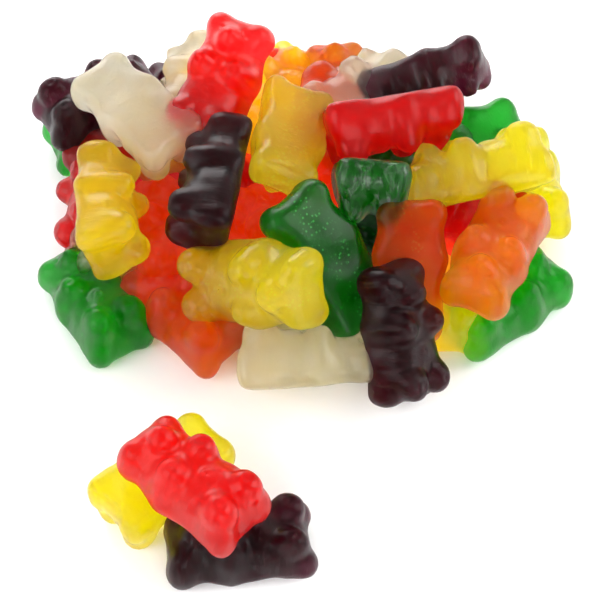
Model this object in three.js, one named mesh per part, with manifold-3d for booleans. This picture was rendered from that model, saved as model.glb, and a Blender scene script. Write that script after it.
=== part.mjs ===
// Gummy bears: a low heap of soft moulded sweets, and three more that lie together in front of it.
// Millimetres, +Z up. The origin is on the surface they lie on, under the middle of the whole.
import * as THREE from "three";
import { mergeVertices } from "three/addons/utils/BufferGeometryUtils.js";
import Module from "manifold-3d";

const wasm = await Module();
wasm.setup();

// One bear lies on its back: head towards +X, belly up, its flat moulded back at the bottom.
const BEAR_LENGTH = 21.8;
const BACK = -4.6;
const TRUNK_FRONT = 4.1;
const TRUNK_HALF_WIDTH = 4.7;
const HEAD_TOP = 9.5;
const CROTCH = -9.2;
const POLE_HEIGHT = -0.6;

// Swellings of the outline, each with its place along the bear, its height and its spread.
const EARS = { x: 8.3, width: 1.1, spread: 2.2 };
const ARMS = { x: 1.9, width: 1.5, spread: 1.9 };
const LEGS = { x: -8.0, width: 1.6, spread: 2.6 };

// Swellings of the front: the snout on the middle line, paws and feet beside it.
const SNOUT = { x: 6.8, y: 0, height: 1.2, spread: 1.7 };
const PAWS = { x: 2.3, y: 2.9, height: 1.5, spread: 1.6 };
const FEET = { x: -5.7, y: 2.8, height: 1.7, spread: 1.8 };

// The dips between the two ears and between the two legs.
const EAR_DIP = { x: 10.6, depth: 0.8, reach: 1.2 };
const LEG_DIP = { x: -10.5, depth: 1.1, reach: 1.5 };
const DIP_SPREAD = 1.6;

// Sections of a heaped bear, through its tips, ears, snout, neck, paws, waist, feet and legs.
const HEAPED_SECTIONS = [10.6, 8.6, 6.7, 4.7, 2.3, -0.3, -2.9, -5.7, -8.3, -10.4];
const HEAPED_SIDES = 10;
const LOOSE_SECTIONS = 18;
const LOOSE_SIDES = 16;
const FIRST_SECTION = 10.7;
const LAST_SECTION = -10.5;

// The packed middle of the heap, which the outer bears sit on.
const CORE = { x: 0, y: 15, rx: 34, ry: 24, rz: 13 };

// Middle of the whole on the surface, in the coordinates of the lists below.
const MIDDLE = { x: -0.47, y: -1.04 };

// Every bear as x, y and height of its middle, yaw, pitch, roll in degrees, and size.
// Yaw turns the head from +X towards +Y, pitch lifts the head, roll turns it about its length.
const FRONT_BEARS = [
  [-30.8, -2.8, 4.2, 123, 0, 0, 0.92],
  [-17.7, -4.8, 5.8, 133, 0, 0, 0.94],
  [0.7, -13.3, 5.6, 0, 0, -55, 0.96],
  [14.4, -11.8, 9.5, 100, 22, 55, 0.95],
  [30.9, -1.8, 4.2, 41, 0, 0, 0.92],
  [21.4, 0.6, 4.3, 90, 0, 0, 0.9],
  [-26.1, 6.6, 4.3, 15, 0, 0, 0.9],
];
const MIDDLE_BEARS = [
  [-6.7, -6.8, 15.0, -30, 28, 58, 0.98],
  [2.6, -1.1, 13.0, 112, 44, 180, 1.04],
  [15.4, -2.7, 13.0, 84, 40, 180, 0.93],
  [23.7, 11.8, 5.0, 100, 0, 0, 1.0],
  [27.8, -0.2, 14.5, -115, 0, 0, 0.95],
  [-28.3, 7.3, 14.8, 92, 0, 72, 0.93],
  [-32.6, 16.8, 6.0, 95, 0, -60, 0.95],
  [-20.1, 9.7, 5.2, 100, 0, 0, 1.0],
  [-2.9, 14.5, 7.0, 44, 0, 0, 1.0],
  [9.9, 10.2, 12.5, -90, 62, 180, 0.93],
  [10.4, 9.8, 4.6, 60, 0, 0, 1.0],
  [34.6, 18.9, 6.4, 97, 0, 0, 0.92],
  [26.9, 27.8, 6.0, -30, 0, 0, 0.92],
  [-22.0, 19.2, 6.0, 5, 0, 0, 0.95],
];
const TOP_BEARS = [
  [-13.7, 8.5, 19.0, 82, 0, -85, 0.93],
  [25.5, 12.3, 17.0, 193, 0, 55, 0.98],
  [13.3, 18.9, 19.5, 12, 0, 125, 0.98],
  [-1.8, 17.4, 19.0, -98, 0, 160, 0.95],
  [-12.8, 27.6, 21.5, 66, 5, 0, 0.96],
  [-25.1, 21.7, 18.0, 133, 0, 180, 0.96],
];
const BACK_BEARS = [
  [18.5, 29.9, 18.0, 20, 5, 150, 0.93],
  [9.7, 33.0, 10.0, 42, 0, -60, 0.93],
  [5.4, 35.0, 7.5, 95, 0, 0, 0.92],
  [-9.8, 33.4, 7.0, 125, 0, 0, 0.92],
  [-4.7, 34.5, 10.0, 60, 0, 0, 0.92],
  [-18.4, 32.7, 12.0, 80, 0, -80, 0.9],
  [-32.0, 31.5, 11.5, 30, 0, 0, 0.9],
  [-31.0, 31.0, 4.2, 20, 0, 0, 0.9],
  [-16.0, 38.0, 4.4, 170, 0, 0, 0.93],
  [2.0, 41.0, 4.4, 5, 0, 0, 0.9],
  [15.0, 37.0, 4.4, -15, 0, 0, 0.93],
];
const INNER_BEARS = [
  [-10.0, 22.0, 6.5, 60, 0, 75, 0.93],
  [4.0, 24.5, 6.0, 30, 0, -80, 0.93],
  [15.5, 21.0, 7.0, 150, 12, 60, 0.93],
  [-6.0, 0.5, 4.3, 45, 0, 0, 0.9],
  [6.0, 5.5, 4.4, 5, 0, 0, 0.9],
  [-17.0, 23.0, 12.5, 20, 5, 20, 0.9],
  [3.0, 26.0, 12.5, 75, 0, 30, 0.9],
  [22.0, 25.0, 11.5, -60, 0, 15, 0.9],
  [25.0, 10.5, 9.0, 150, 0, 20, 0.9],
];

// The three loose bears: one on its belly, one on its back and one across both.
const LOOSE_BEARS = {
  bear_yellow: { pose: [-19.7, -33.5, 4.82, 43, 0, 180, 0.93], colour: 0xf2cf1f },
  bear_purple: { pose: [-8.9, -42.5, 4.37, 186, 0, 0, 0.95], colour: 0x35192c },
  bear_red: { pose: [-14.9, -38.7, 14.25, 138, 2, 5, 0.96], colour: 0xe02430 },
};
const HEAP_COLOUR = 0xe8862a;
const GLOSS = { roughness: 0.32, metalness: 0.0 };

function swell(distance, spread) {
  return Math.exp(-((distance / spread) ** 2));
}

// Rounds the bear off towards both ends.
function taper(x) {
  return Math.sqrt(1 - (Math.abs(x) / (0.516 * BEAR_LENGTH)) ** 6);
}

function halfWidth(x) {
  let width = TRUNK_HALF_WIDTH;
  for (const part of [EARS, ARMS, LEGS]) {
    width += part.width * swell(x - part.x, part.spread);
  }
  return width * taper(x);
}

function frontHeight(x, y) {
  let height = TRUNK_FRONT;
  for (const part of [SNOUT, PAWS, FEET]) {
    height += part.height * swell(x - part.x, part.spread) * swell(Math.abs(y) - part.y, part.spread);
  }
  return height * taper(x);
}

function dip(x, y) {
  const part = x > 0 ? EAR_DIP : LEG_DIP;
  const depth = part.depth * swell(x - part.x, part.reach) * swell(y, DIP_SPREAD);
  return Math.sign(x) * depth;
}

// A point of the section at x. The turn starts at the back and goes round by the bear's left side.
function sectionPoint(x, turn) {
  const up = -Math.cos(turn);
  const side = Math.sin(turn);
  const y = halfWidth(x) * Math.sign(side) * Math.abs(side) ** (up > 0 ? 1.0 : 0.8);
  const backHeight = Math.max(BACK, 1.25 * BACK * Math.abs(up) ** 0.6) * Math.sqrt(taper(x));
  const z = up > 0 ? up ** 0.7 * frontHeight(x, y) : backHeight;
  return [x - dip(x, y), Math.abs(y) < 1e-6 ? 0 : y, z];
}

// A sphere whose rings become the bear's sections, with its two poles at the head and the crotch.
function bearGeometry(sections, sides) {
  const geometry = new THREE.SphereGeometry(1, sides, sections.length + 1);
  const position = geometry.attributes.position;
  for (let index = 0; index < position.count; index += 1) {
    const row = Math.floor(index / (sides + 1));
    const turn = ((index % (sides + 1)) / sides) * 2 * Math.PI;
    if (row === 0) {
      position.setXYZ(index, HEAD_TOP, 0, POLE_HEIGHT);
    } else if (row > sections.length) {
      position.setXYZ(index, CROTCH, 0, POLE_HEIGHT);
    } else {
      position.setXYZ(index, ...sectionPoint(sections[row - 1], turn));
    }
  }
  return geometry;
}

function evenSections(count) {
  const step = (FIRST_SECTION - LAST_SECTION) / (count - 1);
  return Array.from({ length: count }, (_, index) => FIRST_SECTION - index * step);
}

function placement([x, y, z, yaw, pitch, roll, size]) {
  const turn = new THREE.Euler(
    THREE.MathUtils.degToRad(roll),
    THREE.MathUtils.degToRad(-pitch),
    THREE.MathUtils.degToRad(yaw),
    "ZYX",
  );
  return new THREE.Matrix4().compose(
    new THREE.Vector3(x - MIDDLE.x, y - MIDDLE.y, z),
    new THREE.Quaternion().setFromEuler(turn),
    new THREE.Vector3(size, size, size),
  );
}

function solid(geometry) {
  const plain = geometry.clone();
  plain.deleteAttribute("normal");
  plain.deleteAttribute("uv");
  const merged = mergeVertices(plain, 1e-5);
  return new wasm.Manifold(new wasm.Mesh({
    numProp: 3,
    vertProperties: new Float32Array(merged.attributes.position.array),
    triVerts: new Uint32Array(merged.index.array),
  }));
}

function geometryOf(body) {
  const mesh = body.getMesh();
  const geometry = new THREE.BufferGeometry();
  geometry.setAttribute("position", new THREE.BufferAttribute(new Float32Array(mesh.vertProperties), 3));
  geometry.setIndex(new THREE.BufferAttribute(new Uint32Array(mesh.triVerts), 1));
  geometry.computeVertexNormals();
  return geometry;
}

// All that is above the surface the sweets lie on.
function aboveSurface(body) {
  const room = new THREE.BoxGeometry(200, 200, 100).translate(0, 0, 50);
  return body.intersect(solid(room));
}

// The outer body alone: what the bears shut in between them is filled, and no scrap is left.
function outerBody(body) {
  const bodies = body.decompose();
  return bodies.reduce((largest, part) => (part.volume() > largest.volume() ? part : largest));
}

function coreGeometry() {
  const geometry = new THREE.SphereGeometry(1, 16, 8).rotateX(Math.PI / 2);
  geometry.scale(CORE.rx, CORE.ry, CORE.rz);
  return geometry.translate(CORE.x - MIDDLE.x, CORE.y - MIDDLE.y, 0);
}

function heapGeometry() {
  const bear = bearGeometry(HEAPED_SECTIONS, HEAPED_SIDES);
  let heap = solid(coreGeometry());
  for (const pose of [FRONT_BEARS, MIDDLE_BEARS, TOP_BEARS, BACK_BEARS, INNER_BEARS].flat()) {
    heap = heap.add(solid(bear.clone().applyMatrix4(placement(pose))));
  }
  return geometryOf(outerBody(aboveSurface(heap)));
}

function named(name, geometry, colour) {
  const mesh = new THREE.Mesh(geometry, new THREE.MeshStandardMaterial({ color: colour, ...GLOSS }));
  mesh.name = name;
  return mesh;
}

const gummyBears = new THREE.Group();
gummyBears.add(named("bear_heap", heapGeometry(), HEAP_COLOUR));
for (const [name, bear] of Object.entries(LOOSE_BEARS)) {
  const geometry = bearGeometry(evenSections(LOOSE_SECTIONS), LOOSE_SIDES);
  geometry.applyMatrix4(placement(bear.pose));
  gummyBears.add(named(name, geometry, bear.colour));
}

export default gummyBears;
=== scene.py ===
"""Gummy bears: a low heap of soft moulded sweets, and three more that lie together in front of it."""
import math
import random

import bpy
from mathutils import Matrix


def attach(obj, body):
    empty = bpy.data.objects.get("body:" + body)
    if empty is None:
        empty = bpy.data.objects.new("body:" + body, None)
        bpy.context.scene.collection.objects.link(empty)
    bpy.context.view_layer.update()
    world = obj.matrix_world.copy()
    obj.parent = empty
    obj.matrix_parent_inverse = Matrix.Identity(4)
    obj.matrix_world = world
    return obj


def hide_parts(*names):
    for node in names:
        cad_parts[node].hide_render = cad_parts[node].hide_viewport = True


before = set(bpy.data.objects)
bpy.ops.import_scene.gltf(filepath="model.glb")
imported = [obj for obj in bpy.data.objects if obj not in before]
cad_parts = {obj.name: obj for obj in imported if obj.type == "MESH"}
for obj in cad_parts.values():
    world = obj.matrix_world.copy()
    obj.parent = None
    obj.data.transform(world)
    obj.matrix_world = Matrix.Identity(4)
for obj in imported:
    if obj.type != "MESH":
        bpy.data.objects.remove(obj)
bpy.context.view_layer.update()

MM = 0.001

# One bear lies on its back: head towards +X, belly up, its flat moulded back at the bottom.
# Lengths of the bear are in millimetres from its middle.
BACK = -4.4

# Every upright wall widens by DRAFT on its way down. The rim of the back is rounded: over the last
# ROUNDED_BACK of its height the wall draws in to BACK_INSET of its width.
DRAFT = 1.10
ROUNDED_BACK = 2.1
BACK_INSET = 0.72

# Lobes that the mould gives upright walls down to the back: middle and radii.
# A pair is named once, for the left side, and repeated on the right.
TRUNK_LOBES = [
    ((6.6, 0.0, -0.4), (3.9, 4.9, 3.5)),
    ((4.0, 0.0, -0.8), (3.3, 5.2, 3.7)),
    ((0.8, 0.0, -0.2), (4.4, 5.4, 3.8)),
    ((-3.6, 0.0, 0.1), (4.6, 5.5, 4.0)),
    ((-7.4, 0.0, -1.3), (2.9, 4.4, 3.4)),
    ((0.2, 0.0, -3.2), (9.6, 5.7, 2.6)),
]
PAIRED_LOBES = [
    ((8.5, 3.2, -0.7), (2.4, 2.4, 3.3)),
    ((1.6, 3.9, -0.1), (2.3, 2.2, 3.6)),
    ((-6.6, 3.3, -0.2), (2.9, 2.5, 3.8)),
    ((-8.8, 3.8, -1.2), (2.2, 2.2, 3.1)),
]

# Rounded relief on the front, with no walls of its own.
SNOUT = ((6.3, 0.0, 2.6), (2.3, 2.5, 2.5))
NOSE = ((6.9, 0.0, 4.65), (0.7, 0.9, 0.5))
NAVEL = ((-2.3, 0.0, 3.75), (0.9, 0.9, 0.5))
PAIRED_RELIEF = [
    ((1.5, 2.9, 2.7), (2.4, 2.3, 2.6)),
    ((-7.2, 2.8, 2.7), (2.9, 2.6, 3.0)),
]

# Dents: eyes, the tip of each paw and foot, and the middle of the navel.
EYE = ((7.9, 1.8, 3.1), 0.55)
PAW_DENT = ((1.5, 2.9, 5.8), 1.1)
FOOT_DENT = ((-7.4, 2.8, 6.4), 1.3)
NAVEL_DENT = ((-2.3, 0.0, 4.2), 0.5)

# How finely each skin is meshed, and how often it is smoothed: the fused lobes, the same with nose and
# navel, the copies that show and the copies that others hide.
LOBES_SKIN = (0.38, 34)
FEATURES_SKIN = (0.25, 6)
FINE_SKIN = (0.34, 1)
COARSE_SKIN = (0.55, 2)
SMOOTHING = 0.5
BALL_SEGMENTS = 28
BALL_RINGS = 14

# Seed of the random draws, the most that a single sweet is twisted and bent, in degrees, and the width
# and height of the soft lumps all over the skins.
SEED = 31
MOST_TWIST = 9
MOST_BEND = 10
LUMP_WIDTH = 7.0
LUMP_HEIGHT = 0.7

# Each bear: x, y and height of its middle, yaw, pitch, roll in degrees, size, and tone from pale to deep.
# Where two more are given, they are the frost on its skin and the bubbles in it.
HEAP = {
    "green": [
        (-31.5, -1.9, 4.2, 123, 0, 0, 0.93, 0.35),
        (30.0, -1.8, 4.2, 38, 0, 0, 0.96, 0.15),
        (2.6, -1.1, 13.0, 136, 44, 180, 1.04, 0.75, 0.05, 1.0),
        (9.9, 11.0, 14.5, 90, -50, 180, 0.94, 1.0, 0.65, 0.0),
        (24.6, 25.2, 6.2, 20, 4, 195, 0.93, 0.45),
        (-31.0, 31.0, 4.2, 20, 0, 0, 0.9, 0.5),
        (10.4, 9.8, 4.6, 60, 0, 0, 1.0, 1.0),
    ],
    "orange": [
        (-17.7, -4.8, 5.8, 133, 0, 0, 0.94, 0.7),
        (15.4, -2.0, 12.0, 84, 40, 180, 0.93, 0.8, 0.05, 0.3),
        (27.8, -0.2, 14.5, -115, 0, 0, 0.95, 0.0),
        (-20.1, 8.3, 7.2, 100, 0, 0, 1.0, 1.0),
        (-2.9, 14.5, 7.0, 44, 0, 0, 1.0, 1.0),
        (5.4, 35.0, 8.3, 95, 0, 0, 0.92, 0.0),
    ],
    "yellow": [
        (21.4, -0.6, 4.3, 90, 0, 0, 0.9, 1.0),
        (-7.6, -7.3, 15.2, -30, 28, 58, 1.05, 0.35, 0.2, 0.3),
        (-28.3, 7.3, 14.8, 92, 0, 72, 0.93, 0.8),
        (25.0, 12.3, 17.2, 193, 0, 55, 1.02, 0.0),
        (34.6, 18.9, 6.4, 97, 0, 0, 0.92, 0.2),
        (-2.6, 16.4, 18.6, -98, 7, 160, 0.91, 0.15, 0.15, 0.9),
        (-9.8, 31.0, 11.5, 125, 0, 0, 0.92, 1.0),
        (-4.7, 36.4, 7.3, 60, 0, 0, 0.92, 0.95),
    ],
    "red": [
        (23.7, 13.0, 5.0, 100, 0, 0, 0.94, 1.0),
        (-32.6, 16.8, 6.0, 95, 0, -60, 0.95, 0.2),
        (13.3, 18.9, 19.5, 12, 0, 125, 0.98, 0.8, 0.05, 0.0),
        (-12.8, 26.3, 20.8, 66, 27, 0, 0.96, 0.4),
    ],
    "clear": [
        (0.7, -13.3, 5.6, 0, 0, -55, 0.96, 0.6),
        (-26.1, 6.6, 4.3, 15, 0, 0, 0.9, 0.6),
        (-25.1, 21.7, 18.0, 133, 0, 180, 0.96, 0.3),
        (7.2, 30.0, 13.9, 42, 0, -60, 0.93, 0.2),
        (-18.4, 32.7, 12.0, 80, 0, -80, 0.9, 0.2),
    ],
    "purple": [
        (14.4, -12.3, 10.4, 100, 46, 38, 0.95, 0.5),
        (-13.7, 8.5, 19.0, 82, 0, -80, 0.98, 0.7, 0.15, 0.0),
        (19.0, 29.6, 15.9, 12, 20, 98, 0.91, 0.3, 0.2, 0.0),
        (-32.0, 31.5, 11.5, 30, 0, 0, 0.9, 0.5),
    ],
}

# Bears that the others hide, which fill the heap and carry its top.
INNER = {
    "green": [(6.0, 5.5, 4.4, 5, 0, 0, 0.9, 1.0), (15.5, 21.0, 7.0, 150, 12, 60, 0.93, 1.0),
              (20.5, 24.0, 9.0, -60, 0, 15, 0.9, 0.4)],
    "orange": [(4.0, 24.5, 6.0, 30, 0, -80, 0.93, 1.0), (3.0, 26.0, 12.5, 75, 0, 30, 0.9, 0.85)],
    "yellow": [(-6.0, 0.5, 4.3, 45, 0, 0, 0.9, 0.6), (15.0, 37.0, 4.4, -15, 0, 0, 0.93, 0.5),
               (-17.0, 23.0, 12.5, 20, 5, 20, 0.9, 0.5)],
    "red": [(-22.0, 19.2, 6.0, 5, 0, 0, 0.95, 0.7), (2.0, 41.0, 4.4, 5, 0, 0, 0.9, 0.5),
            (-10.0, 22.0, 6.5, 60, 0, 75, 0.93, 0.8), (25.0, 10.5, 9.0, 150, 0, 20, 0.9, 0.6)],
    "purple": [(-16.0, 38.0, 4.4, 170, 0, 0, 0.93, 0.6)],
}

# The three loose bears: one on its belly, one on its back and one across both.
LOOSE = {
    "yellow": (-19.7, -33.5, 4.82, 43, 0, 180, 0.93, 0.2),
    "purple": (-8.9, -42.5, 4.37, 186, 0, 0, 0.95, 0.5),
    "red": (-14.9, -38.7, 14.25, 138, 2, 5, 0.96, 0.6),
}

# Middle of the whole on the surface, in the coordinates of the lists above.
MIDDLE = (-0.47, -1.04)

# Pale and deep colour of each gum's skin, the colour that light takes on inside it, how cloudy it is, a
# painted glow for the bears deep in the heap in place of light that reaches them through the others, and
# how strongly the gum and the thin film on it shine.
GUMS = {
    "red": {
        "pale": (1.00, 0.08, 0.09), "deep": (0.85, 0.02, 0.03), "inside": (0.992, 0.03, 0.03),
        "cloud": 360, "glow": (0.16, 0.004, 0.004), "shine": 0.25, "satin": 0.15,
    },
    "orange": {
        "pale": (1.00, 0.82, 0.12), "deep": (1.00, 0.22, 0.02), "inside": (0.999, 0.38, 0.01),
        "cloud": 420, "glow": (0.16, 0.011, 0.0), "shine": 0.15, "satin": 0.08,
    },
    "yellow": {
        "pale": (1.00, 0.95, 0.08), "deep": (1.00, 0.76, 0.03), "inside": (0.999, 0.86, 0.012),
        "cloud": 350, "glow": (0.30, 0.18, 0.0), "shine": 0.4, "satin": 0.16,
    },
    "green": {
        "pale": (0.10, 0.80, 0.16), "deep": (0.05, 0.42, 0.06), "inside": (0.03, 0.54, 0.05),
        "cloud": 320, "glow": (0.0, 0.0, 0.0), "shine": 0.25, "satin": 0.14,
    },
    "clear": {
        "pale": (1.00, 0.97, 0.87), "deep": (0.98, 0.86, 0.50), "inside": (0.998, 0.970, 0.82),
        "cloud": 320, "glow": (0.0, 0.0, 0.0), "shine": 1.0, "satin": 0.22,
    },
    "purple": {
        "pale": (0.44, 0.12, 0.25), "deep": (0.27, 0.05, 0.13), "inside": (0.20, 0.04, 0.08),
        "cloud": 600, "glow": (0.0, 0.0, 0.0), "shine": 0.14, "satin": 0.07,
    },
}

# How far forward the cloud inside throws the light, how gum and film bend it, and how rough the film is.
CLOUD_FORWARD = 0.6
GUM_IOR = 1.33
FILM_IOR = 1.5
FILM_ROUGHNESS = 0.2

# Frost on a bear for which the lists above name none.
SOME_FROST = 0.15

# How many cells of each pattern lie along a metre of skin. Wrinkles have a number each for the length,
# the width and the height of the bear.
FINE_GRAIN = 1300
BROAD_WAVES = 280
DULL_PATCHES = 210
CRACKS = 2200
WRINKLES = (1700, 800, 300)
BUBBLE_CELLS = 1700
BUBBLE_CROWDS = 420

# Bubbles thin out between these two distances from the bear's middle line.
BUBBLE_CORE = (1.5, 3.0)

# Where each pattern begins and ends: values of its noise, for cracks how far that lies from the middle
# value, and for bubbles shares of a cell.
MIDDLING = (0.3, 0.7)
CREASED = (0.50, 0.66)
DULLED = (0.48, 0.62)
CRACKED = (0.01, 0.05)
CROWDED = (0.40, 0.55)
BUBBLE_EDGE = (0.20, 0.34)

# Bears between this tone and the deepest one get a painted glow, in place of light that passes through the
# others.
DEEP_TONE = 0.8

# What the patterns do to the frost, the tone, the roughness, the painted glow and the height.
CRACK_FROST = 0.2
MOTTLING = 0.18
PALE_BUBBLES = 0.6
SKIN_ROUGHNESS = (0.30, 0.38)
DULL_ROUGHNESS = 0.08
FROST_ROUGHNESS = 0.2
# Bubbles also get a painted glow of the pale colour, for the light they catch.
PAINTED_BUBBLE_GLOW = 0.35
NO_LIGHT = (0.0, 0.0, 0.0)
# Frost flakes get this painted grey sheen, emitted on top of their real dulling by roughness and film.
PAINTED_FROST_SHEEN = (0.09, 0.09, 0.09)
GRAIN_HEIGHT = 0.35
WRINKLE_HEIGHT = 2.0
BUMP_STRENGTH = 0.35
BUMP_DISTANCE = 0.0002

# The white surface, in metres. It lies so little below the sweets that no gap shows.
SURFACE_SIZE = 4.0
SURFACE_DROP = 0.00002
SURFACE_WHITES = ((0.93, 0.93, 0.93), (0.95, 0.95, 0.95))
SURFACE_ROUGHNESS = 0.6
SURFACE_GRAIN = 40

# The camera stands this many degrees above the level and this many metres from the middle of the group.
LOOK_DOWN = 55.0
CAMERA_DISTANCE = 0.300
LENS = 117.2
SENSOR = 36.0
NEAREST = 0.01

# Turns that light may take inside the gum, and in all.
INSIDE_TURNS = 32
ALL_TURNS = 64

# Light of the room, and each soft box: direction towards it, half angle in degrees, brightness. A box
# fades from full to nothing between these two shares of its half angle.
ROOM_LIGHT = 0.8
BOX_EDGE = (0.8, 1.2)
SOFT_BOXES = [
    ((-0.25, 0.90, 0.36), 18.0, 6.5),
    ((0.85, 0.10, 0.55), 20.0, 6.0),
    ((-0.80, -0.45, 0.60), 22.0, 4.5),
    ((0.25, -0.85, 0.35), 20.0, 4.0),
]


def deselect():
    bpy.ops.object.select_all(action="DESELECT")


def pick(*objects):
    deselect()
    for obj in objects:
        obj.select_set(True)
    bpy.context.view_layer.objects.active = objects[0]


def millimetres(values):
    return tuple(MM * value for value in values)


def apply_modifiers(obj):
    pick(obj)
    for modifier in list(obj.modifiers):
        bpy.ops.object.modifier_apply(modifier=modifier.name)


def ball(middle, radii):
    deselect()
    bpy.ops.mesh.primitive_uv_sphere_add(
        segments=BALL_SEGMENTS,
        ring_count=BALL_RINGS,
        radius=MM,
        location=millimetres(middle),
        scale=radii,
    )
    bpy.ops.object.transform_apply(location=True, rotation=True, scale=True)
    return bpy.context.object


def moulded_lobe(middle, radii):
    """A rounded top whose upright wall runs down to the back, a little wider there."""
    lobe = ball(middle, radii)
    centre = millimetres(middle)
    bpy.ops.object.mode_set(mode="EDIT")
    bpy.ops.mesh.select_all(action="SELECT")
    bpy.ops.mesh.bisect(plane_co=centre, plane_no=(0, 0, 1), clear_inner=True)
    drop = MM * (BACK + ROUNDED_BACK - middle[2])
    bpy.ops.mesh.extrude_region_move(TRANSFORM_OT_translate={"value": (0, 0, drop)})
    bpy.ops.transform.resize(value=(DRAFT, DRAFT, 1), center_override=centre)
    bpy.ops.mesh.extrude_region_move(TRANSFORM_OT_translate={"value": (0, 0, -MM * ROUNDED_BACK)})
    bpy.ops.transform.resize(value=(BACK_INSET, BACK_INSET, 1), center_override=centre)
    bpy.ops.mesh.edge_face_add()
    bpy.ops.object.mode_set(mode="OBJECT")
    return lobe


def mirrored(middle):
    return (middle[0], -middle[1], middle[2])


def join(pieces, name):
    pick(*pieces)
    if len(pieces) > 1:
        bpy.ops.object.join()
    joined = bpy.context.object
    joined.name = name
    joined.data.name = name
    return joined


def fuse(obj, voxel, smoothing):
    """Fuses overlapping lobes into one skin and softens the creases between them."""
    remesh = obj.modifiers.new("skin", "REMESH")
    remesh.mode = "VOXEL"
    remesh.voxel_size = MM * voxel
    smooth = obj.modifiers.new("soften", "SMOOTH")
    smooth.factor = SMOOTHING
    smooth.iterations = smoothing
    apply_modifiers(obj)


def cut(obj, cutter):
    boolean = obj.modifiers.new("dent", "BOOLEAN")
    boolean.operation = "DIFFERENCE"
    boolean.solver = "EXACT"
    boolean.object = cutter
    apply_modifiers(obj)
    bpy.data.objects.remove(cutter)


def moulded_bear(name):
    """The whole bear as the mould gives it."""
    lobes = [moulded_lobe(middle, radii) for middle, radii in TRUNK_LOBES]
    for middle, radii in PAIRED_LOBES:
        lobes.append(moulded_lobe(middle, radii))
        lobes.append(moulded_lobe(mirrored(middle), radii))
    lobes.append(ball(*SNOUT))
    for middle, radii in PAIRED_RELIEF:
        lobes.append(ball(middle, radii))
        lobes.append(ball(mirrored(middle), radii))
    bear = join(lobes, name)
    fuse(bear, *LOBES_SKIN)
    bear = join([bear, ball(*NOSE), ball(*NAVEL)], name)
    fuse(bear, *FEATURES_SKIN)
    middle, radius = NAVEL_DENT
    dents = [ball(middle, (radius, radius, radius))]
    for middle, radius in (EYE, PAW_DENT, FOOT_DENT):
        radii = (radius, radius, radius)
        dents += [ball(middle, radii), ball(mirrored(middle), radii)]
    cut(bear, join(dents, "dents"))
    return bear


def refined(bear, name, voxel, smoothing):
    """A copy of the bear with an even mesh of its own fineness."""
    pick(bear)
    bpy.ops.object.duplicate(linked=False)
    copy = bpy.context.object
    copy.name = name
    copy.data.name = name
    fuse(copy, voxel, smoothing)
    return copy


def bend_and_twist(obj, chance):
    """Each sweet came out of the tray a little twisted and bent."""
    twist = obj.modifiers.new("twist", "SIMPLE_DEFORM")
    twist.deform_method = "TWIST"
    twist.deform_axis = "X"
    twist.angle = math.radians(chance.uniform(-MOST_TWIST, MOST_TWIST))
    bend = obj.modifiers.new("bend", "SIMPLE_DEFORM")
    bend.deform_method = "BEND"
    bend.deform_axis = chance.choice(["Y", "Z"])
    bend.angle = math.radians(chance.uniform(-MOST_BEND, MOST_BEND))
    apply_modifiers(obj)


def own_place(obj, tone, frost, bubbles):
    """Keeps each point's place in the single bear, and how this bear looks, for the materials."""
    mesh = obj.data
    place = mesh.attributes.new("own_place", "FLOAT_VECTOR", "POINT")
    points = [0.0] * (3 * len(mesh.vertices))
    mesh.vertices.foreach_get("co", points)
    place.data.foreach_set("vector", points)
    for name, value in (("tone", tone), ("frost", frost), ("bubbles", bubbles)):
        amount = mesh.attributes.new(name, "FLOAT", "POINT")
        amount.data.foreach_set("value", [value] * len(mesh.vertices))


def placed(master, pose, chance):
    """A copy of the bear, bent its own way and set down in its place."""
    x, y, z, yaw, pitch, roll, size, tone, *marks = pose
    frost, bubbles = marks or (SOME_FROST, 0.0)
    pick(master)
    bpy.ops.object.duplicate(linked=False)
    bear = bpy.context.object
    own_place(bear, tone, frost, bubbles)
    bend_and_twist(bear, chance)
    bear.rotation_mode = "XYZ"
    bear.rotation_euler = (math.radians(roll), math.radians(-pitch), math.radians(yaw))
    bear.location = millimetres((x - MIDDLE[0], y - MIDDLE[1], z))
    bear.scale = (size, size, size)
    pick(bear)
    bpy.ops.object.transform_apply(location=True, rotation=True, scale=True)
    return bear


def rest_on_surface(obj):
    """What would sink below the surface is pressed flat on it."""
    pick(obj)
    mesh = obj.data
    bpy.ops.object.mode_set(mode="EDIT")
    bpy.ops.mesh.select_all(action="DESELECT")
    bpy.ops.object.mode_set(mode="OBJECT")
    low = [vertex for vertex in mesh.vertices if vertex.co.z < 0.0]
    for vertex in low:
        vertex.select = True
    if low:
        bpy.ops.object.mode_set(mode="EDIT")
        bpy.ops.transform.resize(value=(1, 1, 0), center_override=(0, 0, 0))
        bpy.ops.object.mode_set(mode="OBJECT")


def unevenness(obj):
    """Soft lumps, so that no two sweets have quite the same skin."""
    texture = bpy.data.textures.new("soft_lumps", "CLOUDS")
    texture.noise_scale = MM * LUMP_WIDTH
    texture.noise_depth = 1
    lumps = obj.modifiers.new("lumps", "DISPLACE")
    lumps.texture = texture
    lumps.texture_coords = "LOCAL"
    lumps.strength = MM * LUMP_HEIGHT
    lumps.mid_level = 0.5
    apply_modifiers(obj)


def finish_piece(pieces, name, colour, *nodes):
    piece = join(pieces, name)
    unevenness(piece)
    rest_on_surface(piece)
    pick(piece)
    bpy.ops.object.shade_smooth()
    piece.data.materials.clear()
    piece.data.materials.append(gum_material(colour))
    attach(piece, "root")
    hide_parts(*nodes)
    return piece


def link(tree, source, target):
    tree.links.new(source, target)


def noise(tree, vector, scale, detail, roughness=0.5):
    node = tree.nodes.new("ShaderNodeTexNoise")
    node.inputs["Scale"].default_value = scale
    node.inputs["Detail"].default_value = detail
    node.inputs["Roughness"].default_value = roughness
    link(tree, vector, node.inputs["Vector"])
    return node.outputs["Fac"]


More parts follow.
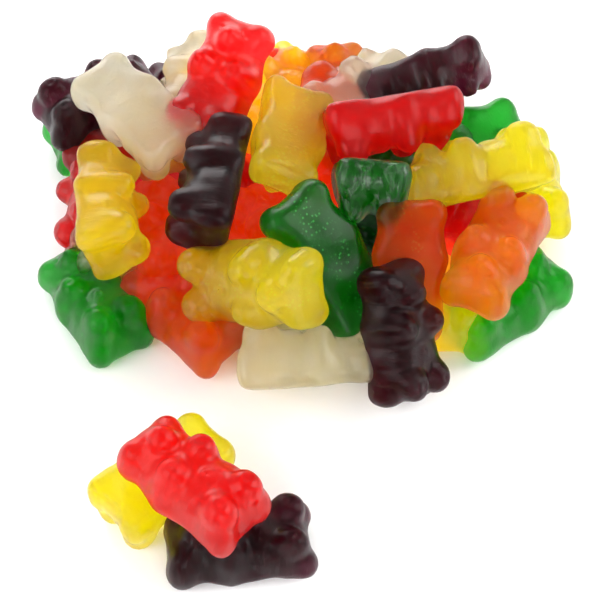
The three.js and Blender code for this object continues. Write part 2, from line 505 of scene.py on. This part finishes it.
def spread_out(tree, value, low, high, to_low, to_high):
    node = tree.nodes.new("ShaderNodeMapRange")
    node.inputs["From Min"].default_value = low
    node.inputs["From Max"].default_value = high
    node.inputs["To Min"].default_value = to_low
    node.inputs["To Max"].default_value = to_high
    link(tree, value, node.inputs["Value"])
    return node.outputs["Result"]


def combine(tree, operation, first, second):
    node = tree.nodes.new("ShaderNodeMath")
    node.operation = operation
    for index, value in enumerate((first, second)):
        if isinstance(value, (int, float)):
            node.inputs[index].default_value = value
        else:
            link(tree, value, node.inputs[index])
    return node.outputs[0]


def mix_colours(tree, factor, first, second):
    node = tree.nodes.new("ShaderNodeMix")
    node.data_type = "RGBA"
    sockets = {"Factor": factor, "A": first, "B": second}
    for name, value in sockets.items():
        socket = next(s for s in node.inputs if s.name == name and s.enabled)
        if isinstance(value, (int, float)):
            socket.default_value = value
        elif isinstance(value, tuple):
            socket.default_value = (*value, 1.0)
        else:
            link(tree, value, socket)
    return next(s for s in node.outputs if s.enabled)


def add_colours(tree, first, second):
    node = tree.nodes.new("ShaderNodeVectorMath")
    node.operation = "ADD"
    link(tree, first, node.inputs[0])
    link(tree, second, node.inputs[1])
    return node.outputs["Vector"]


def attribute(tree, name, output):
    node = tree.nodes.new("ShaderNodeAttribute")
    node.attribute_name = name
    return node.outputs[output]


def stretched(tree, vector, stretch):
    node = tree.nodes.new("ShaderNodeVectorMath")
    node.operation = "MULTIPLY"
    node.inputs[1].default_value = stretch
    link(tree, vector, node.inputs[0])
    return node.outputs["Vector"]


def bubble_mask(tree, place, own):
    """Tiny round bubbles along the middle of the bear, more in some bears than in others."""
    cells = tree.nodes.new("ShaderNodeTexVoronoi")
    cells.inputs["Scale"].default_value = BUBBLE_CELLS
    link(tree, place, cells.inputs["Vector"])
    dots = spread_out(tree, cells.outputs["Distance"], *BUBBLE_EDGE, 1.0, 0.0)
    crowd = spread_out(tree, noise(tree, place, BUBBLE_CROWDS, 1), *CROWDED, 0.0, 1.0)
    dots = combine(tree, "MULTIPLY", dots, crowd)
    across = tree.nodes.new("ShaderNodeSeparateXYZ")
    link(tree, own, across.inputs["Vector"])
    aside = combine(tree, "ABSOLUTE", across.outputs["Y"], 0.0)
    inner = spread_out(tree, aside, *millimetres(BUBBLE_CORE), 1.0, 0.0)
    dots = combine(tree, "MULTIPLY", dots, inner)
    return combine(tree, "MULTIPLY", dots, attribute(tree, "bubbles", "Fac"))


def crackle(tree, place):
    """The net of fine cracks in a dried skin, dark between its pale flakes."""
    centred = combine(tree, "SUBTRACT", noise(tree, place, CRACKS, 1), 0.5)
    ridge = combine(tree, "ABSOLUTE", centred, 0.0)
    return spread_out(tree, ridge, *CRACKED, CRACK_FROST, 1.0)


def skin_colour(tree, given, tone, broad, bubbles):
    """From pale to deep with the bear's tone, mottled, and paler where there are bubbles."""
    mottled = spread_out(tree, broad, *MIDDLING, -MOTTLING, MOTTLING)
    clamp = tree.nodes.new("ShaderNodeClamp")
    link(tree, combine(tree, "ADD", tone, mottled), clamp.inputs["Value"])
    colour = mix_colours(tree, clamp.outputs["Result"], given["Pale"], given["Deep"])
    return mix_colours(tree, combine(tree, "MULTIPLY", bubbles, PALE_BUBBLES), colour, given["Pale"])


def painted_glow(tree, given, tone, bubbles, frost):
    """Painted light, emitted: a glow in the deepest bears and in bubbles, and a painted sheen on the frost.
    """
    lit = spread_out(tree, tone, DEEP_TONE, 1.0, 0.0, 1.0)
    light = mix_colours(tree, lit, NO_LIGHT, given["Glow"])
    # Painted glow of the pale colour in the bubbles.
    light = mix_colours(tree, combine(tree, "MULTIPLY", bubbles, PAINTED_BUBBLE_GLOW), light, given["Pale"])
    # Painted grey sheen on the frost flakes.
    return add_colours(tree, light, mix_colours(tree, frost, NO_LIGHT, PAINTED_FROST_SHEEN))


def skin_roughness(tree, fine, patches, frost):
    """Satin grain, duller in patches and dullest under frost."""
    grain = spread_out(tree, fine, *MIDDLING, *SKIN_ROUGHNESS)
    dull = spread_out(tree, patches, 0.0, 1.0, 0.0, DULL_ROUGHNESS)
    dried = combine(tree, "MULTIPLY", frost, FROST_ROUGHNESS)
    return combine(tree, "ADD", combine(tree, "ADD", grain, dull), dried)


def skin_height(tree, fine, broad, wrinkles, frosted):
    """Broad waves and fine grain everywhere, and wrinkles where the bear has dried."""
    folds = combine(tree, "MULTIPLY", wrinkles, combine(tree, "MULTIPLY", frosted, WRINKLE_HEIGHT))
    uneven = combine(tree, "ADD", combine(tree, "MULTIPLY", fine, GRAIN_HEIGHT), broad)
    return combine(tree, "ADD", uneven, folds)


def add_sockets(group):
    sockets = [
        ("INPUT", "NodeSocketColor", ("Pale", "Deep", "Glow")),
        ("INPUT", "NodeSocketFloat", ("Satin",)),
        ("OUTPUT", "NodeSocketColor", ("Colour", "Light")),
        ("OUTPUT", "NodeSocketFloat", ("Roughness", "Film", "Height")),
    ]
    for in_out, kind, names in sockets:
        for name in names:
            group.interface.new_socket(name, in_out=in_out, socket_type=kind)


def gum_group():
    """The skin that all gums share: mottled tone, bubbles, frost, dull patches and a fine uneven surface."""
    group = bpy.data.node_groups.new("gum_skin", "ShaderNodeTree")
    add_sockets(group)
    given = group.nodes.new("NodeGroupInput").outputs
    result = group.nodes.new("NodeGroupOutput").inputs
    place = group.nodes.new("ShaderNodeTexCoord").outputs["Object"]
    own = attribute(group, "own_place", "Vector")
    tone = attribute(group, "tone", "Fac")
    frosted = attribute(group, "frost", "Fac")

    fine = noise(group, place, FINE_GRAIN, 2)
    broad = noise(group, place, BROAD_WAVES, 1)
    creased = noise(group, stretched(group, own, WRINKLES), 1.0, 2, 0.6)
    wrinkles = spread_out(group, creased, *CREASED, 0.0, 1.0)
    patches = spread_out(group, noise(group, place, DULL_PATCHES, 2), *DULLED, 0.0, 1.0)
    bubbles = bubble_mask(group, place, own)
    flakes = combine(group, "MULTIPLY", combine(group, "MAXIMUM", patches, wrinkles), crackle(group, place))
    frost = combine(group, "MULTIPLY", flakes, frosted)

    link(group, skin_colour(group, given, tone, broad, bubbles), result["Colour"])
    link(group, painted_glow(group, given, tone, bubbles, frost), result["Light"])
    link(group, skin_roughness(group, fine, patches, frost), result["Roughness"])
    link(group, combine(group, "MAXIMUM", frost, given["Satin"]), result["Film"])
    link(group, skin_height(group, fine, broad, wrinkles, frosted), result["Height"])
    return group


def cloudy_inside(tree, gum):
    """Scatters light forward. Colours that the gum keeps pass, and the others are soaked up on the way."""
    kept = gum["inside"]
    soaked = [1.0 - (1.0 - value) * (1.0 - math.sqrt(value)) for value in kept]
    cloud = tree.nodes.new("ShaderNodeVolumeScatter")
    cloud.inputs["Color"].default_value = (*kept, 1.0)
    cloud.inputs["Density"].default_value = gum["cloud"]
    cloud.inputs["Anisotropy"].default_value = CLOUD_FORWARD
    soak = tree.nodes.new("ShaderNodeVolumeAbsorption")
    soak.inputs["Color"].default_value = (*soaked, 1.0)
    soak.inputs["Density"].default_value = gum["cloud"]
    both = tree.nodes.new("ShaderNodeAddShader")
    link(tree, cloud.outputs["Volume"], both.inputs[0])
    link(tree, soak.outputs["Volume"], both.inputs[1])
    link(tree, both.outputs["Shader"], tree.nodes["Material Output"].inputs["Volume"])


def gum_material(colour):
    """Clear, tinted gum with a soft satin skin, a thin film on it and a cloudy inside."""
    name = "soft_" + colour + "_gum"
    if name in bpy.data.materials:
        return bpy.data.materials[name]
    gum = GUMS[colour]
    material = bpy.data.materials.new(name)
    material.use_nodes = True
    material.cycles.emission_sampling = "NONE"
    tree = material.node_tree
    shader = tree.nodes["Principled BSDF"]
    skin = tree.nodes.new("ShaderNodeGroup")
    skin.node_tree = GUM_SKIN
    skin.inputs["Pale"].default_value = (*gum["pale"], 1.0)
    skin.inputs["Deep"].default_value = (*gum["deep"], 1.0)
    skin.inputs["Glow"].default_value = (*gum["glow"], 1.0)
    skin.inputs["Satin"].default_value = gum["satin"]
    link(tree, skin.outputs["Colour"], shader.inputs["Base Color"])
    link(tree, skin.outputs["Roughness"], shader.inputs["Roughness"])
    link(tree, skin.outputs["Film"], shader.inputs["Coat Weight"])
    # The skin's light is emitted: a painted glow and a painted sheen, not a lamp.
    link(tree, skin.outputs["Light"], shader.inputs["Emission Color"])
    bump = tree.nodes.new("ShaderNodeBump")
    bump.inputs["Strength"].default_value = BUMP_STRENGTH
    bump.inputs["Distance"].default_value = BUMP_DISTANCE
    link(tree, skin.outputs["Height"], bump.inputs["Height"])
    link(tree, bump.outputs["Normal"], shader.inputs["Normal"])
    shader.inputs["Emission Strength"].default_value = 1.0
    shader.inputs["Transmission Weight"].default_value = 1.0
    shader.inputs["IOR"].default_value = GUM_IOR
    shader.inputs["Specular Tint"].default_value = (gum["shine"], gum["shine"], gum["shine"], 1.0)
    shader.inputs["Coat IOR"].default_value = FILM_IOR
    shader.inputs["Coat Roughness"].default_value = FILM_ROUGHNESS
    cloudy_inside(tree, gum)
    return material


def surface_material():
    """Matt white with the faintest grain."""
    material = bpy.data.materials.new("white_surface")
    material.use_nodes = True
    tree = material.node_tree
    shader = tree.nodes["Principled BSDF"]
    place = tree.nodes.new("ShaderNodeTexCoord").outputs["Object"]
    grain = noise(tree, place, SURFACE_GRAIN, 2)
    link(tree, mix_colours(tree, grain, *SURFACE_WHITES), shader.inputs["Base Color"])
    shader.inputs["Roughness"].default_value = SURFACE_ROUGHNESS
    return material


def surface():
    deselect()
    bpy.ops.mesh.primitive_plane_add(size=SURFACE_SIZE, location=(0, 0, -SURFACE_DROP))
    bpy.ops.object.transform_apply(location=True, rotation=True, scale=True)
    plane = bpy.context.object
    plane.name = "surface"
    plane.data.materials.append(surface_material())


def soft_box(tree, towards, half_angle, brightness):
    """A round soft box in the room's light, seen in this direction, with a soft edge."""
    length = math.sqrt(sum(value * value for value in towards))
    facing = tree.nodes.new("ShaderNodeVectorMath")
    facing.operation = "DOT_PRODUCT"
    facing.inputs[1].default_value = tuple(value / length for value in towards)
    link(tree, tree.nodes.new("ShaderNodeTexCoord").outputs["Generated"], facing.inputs[0])
    full, edge = [math.cos(math.radians(share * half_angle)) for share in BOX_EDGE]
    return spread_out(tree, facing.outputs["Value"], edge, full, 0.0, brightness)


def studio():
    """A soft white room with four soft boxes: low behind, right, left in front and low in front."""
    world = bpy.data.worlds.new("soft_white_room")
    bpy.context.scene.world = world
    world.use_nodes = True
    world.cycles.sampling_method = "NONE"
    tree = world.node_tree
    light = ROOM_LIGHT
    for box in SOFT_BOXES:
        light = combine(tree, "ADD", light, soft_box(tree, *box))
    background = tree.nodes["Background"]
    background.inputs["Color"].default_value = (1.0, 1.0, 1.0, 1.0)
    link(tree, light, background.inputs["Strength"])


def camera():
    """Looks down at the middle of the group from high in front."""
    tilt = math.radians(LOOK_DOWN)
    aim = millimetres((-MIDDLE[0], -MIDDLE[1], 0.0))
    place = (
        aim[0],
        aim[1] - CAMERA_DISTANCE * math.cos(tilt),
        CAMERA_DISTANCE * math.sin(tilt),
    )
    deselect()
    bpy.ops.object.camera_add(location=place, rotation=(math.pi / 2 - tilt, 0, 0))
    view = bpy.context.object
    view.name = "camera"
    view.data.lens = LENS
    view.data.sensor_width = SENSOR
    view.data.clip_start = NEAREST
    bpy.context.scene.camera = view


def light_paths():
    """Lets the light turn often enough to get through cloudy gum."""
    cycles = bpy.context.scene.cycles
    cycles.volume_bounces = INSIDE_TURNS
    cycles.transmission_bounces = INSIDE_TURNS
    cycles.max_bounces = ALL_TURNS


def all_bears():
    """One piece for each colour of the heap, and one for each loose bear."""
    chance = random.Random(SEED)
    whole = moulded_bear("whole_bear")
    fine = refined(whole, "fine_bear", *FINE_SKIN)
    coarse = refined(whole, "coarse_bear", *COARSE_SKIN)
    for colour, poses in HEAP.items():
        pieces = [placed(fine, pose, chance) for pose in poses]
        pieces += [placed(coarse, pose, chance) for pose in INNER.get(colour, [])]
        finish_piece(pieces, "heap_" + colour, colour, "bear_heap")
    for colour, pose in LOOSE.items():
        finish_piece([placed(fine, pose, chance)], "loose_" + colour, colour, "bear_" + colour)
    for spare in (whole, fine, coarse):
        bpy.data.objects.remove(spare)


GUM_SKIN = gum_group()
all_bears()
surface()
studio()
camera()
light_paths()
bpy.context.scene.view_settings.view_transform = "Standard"
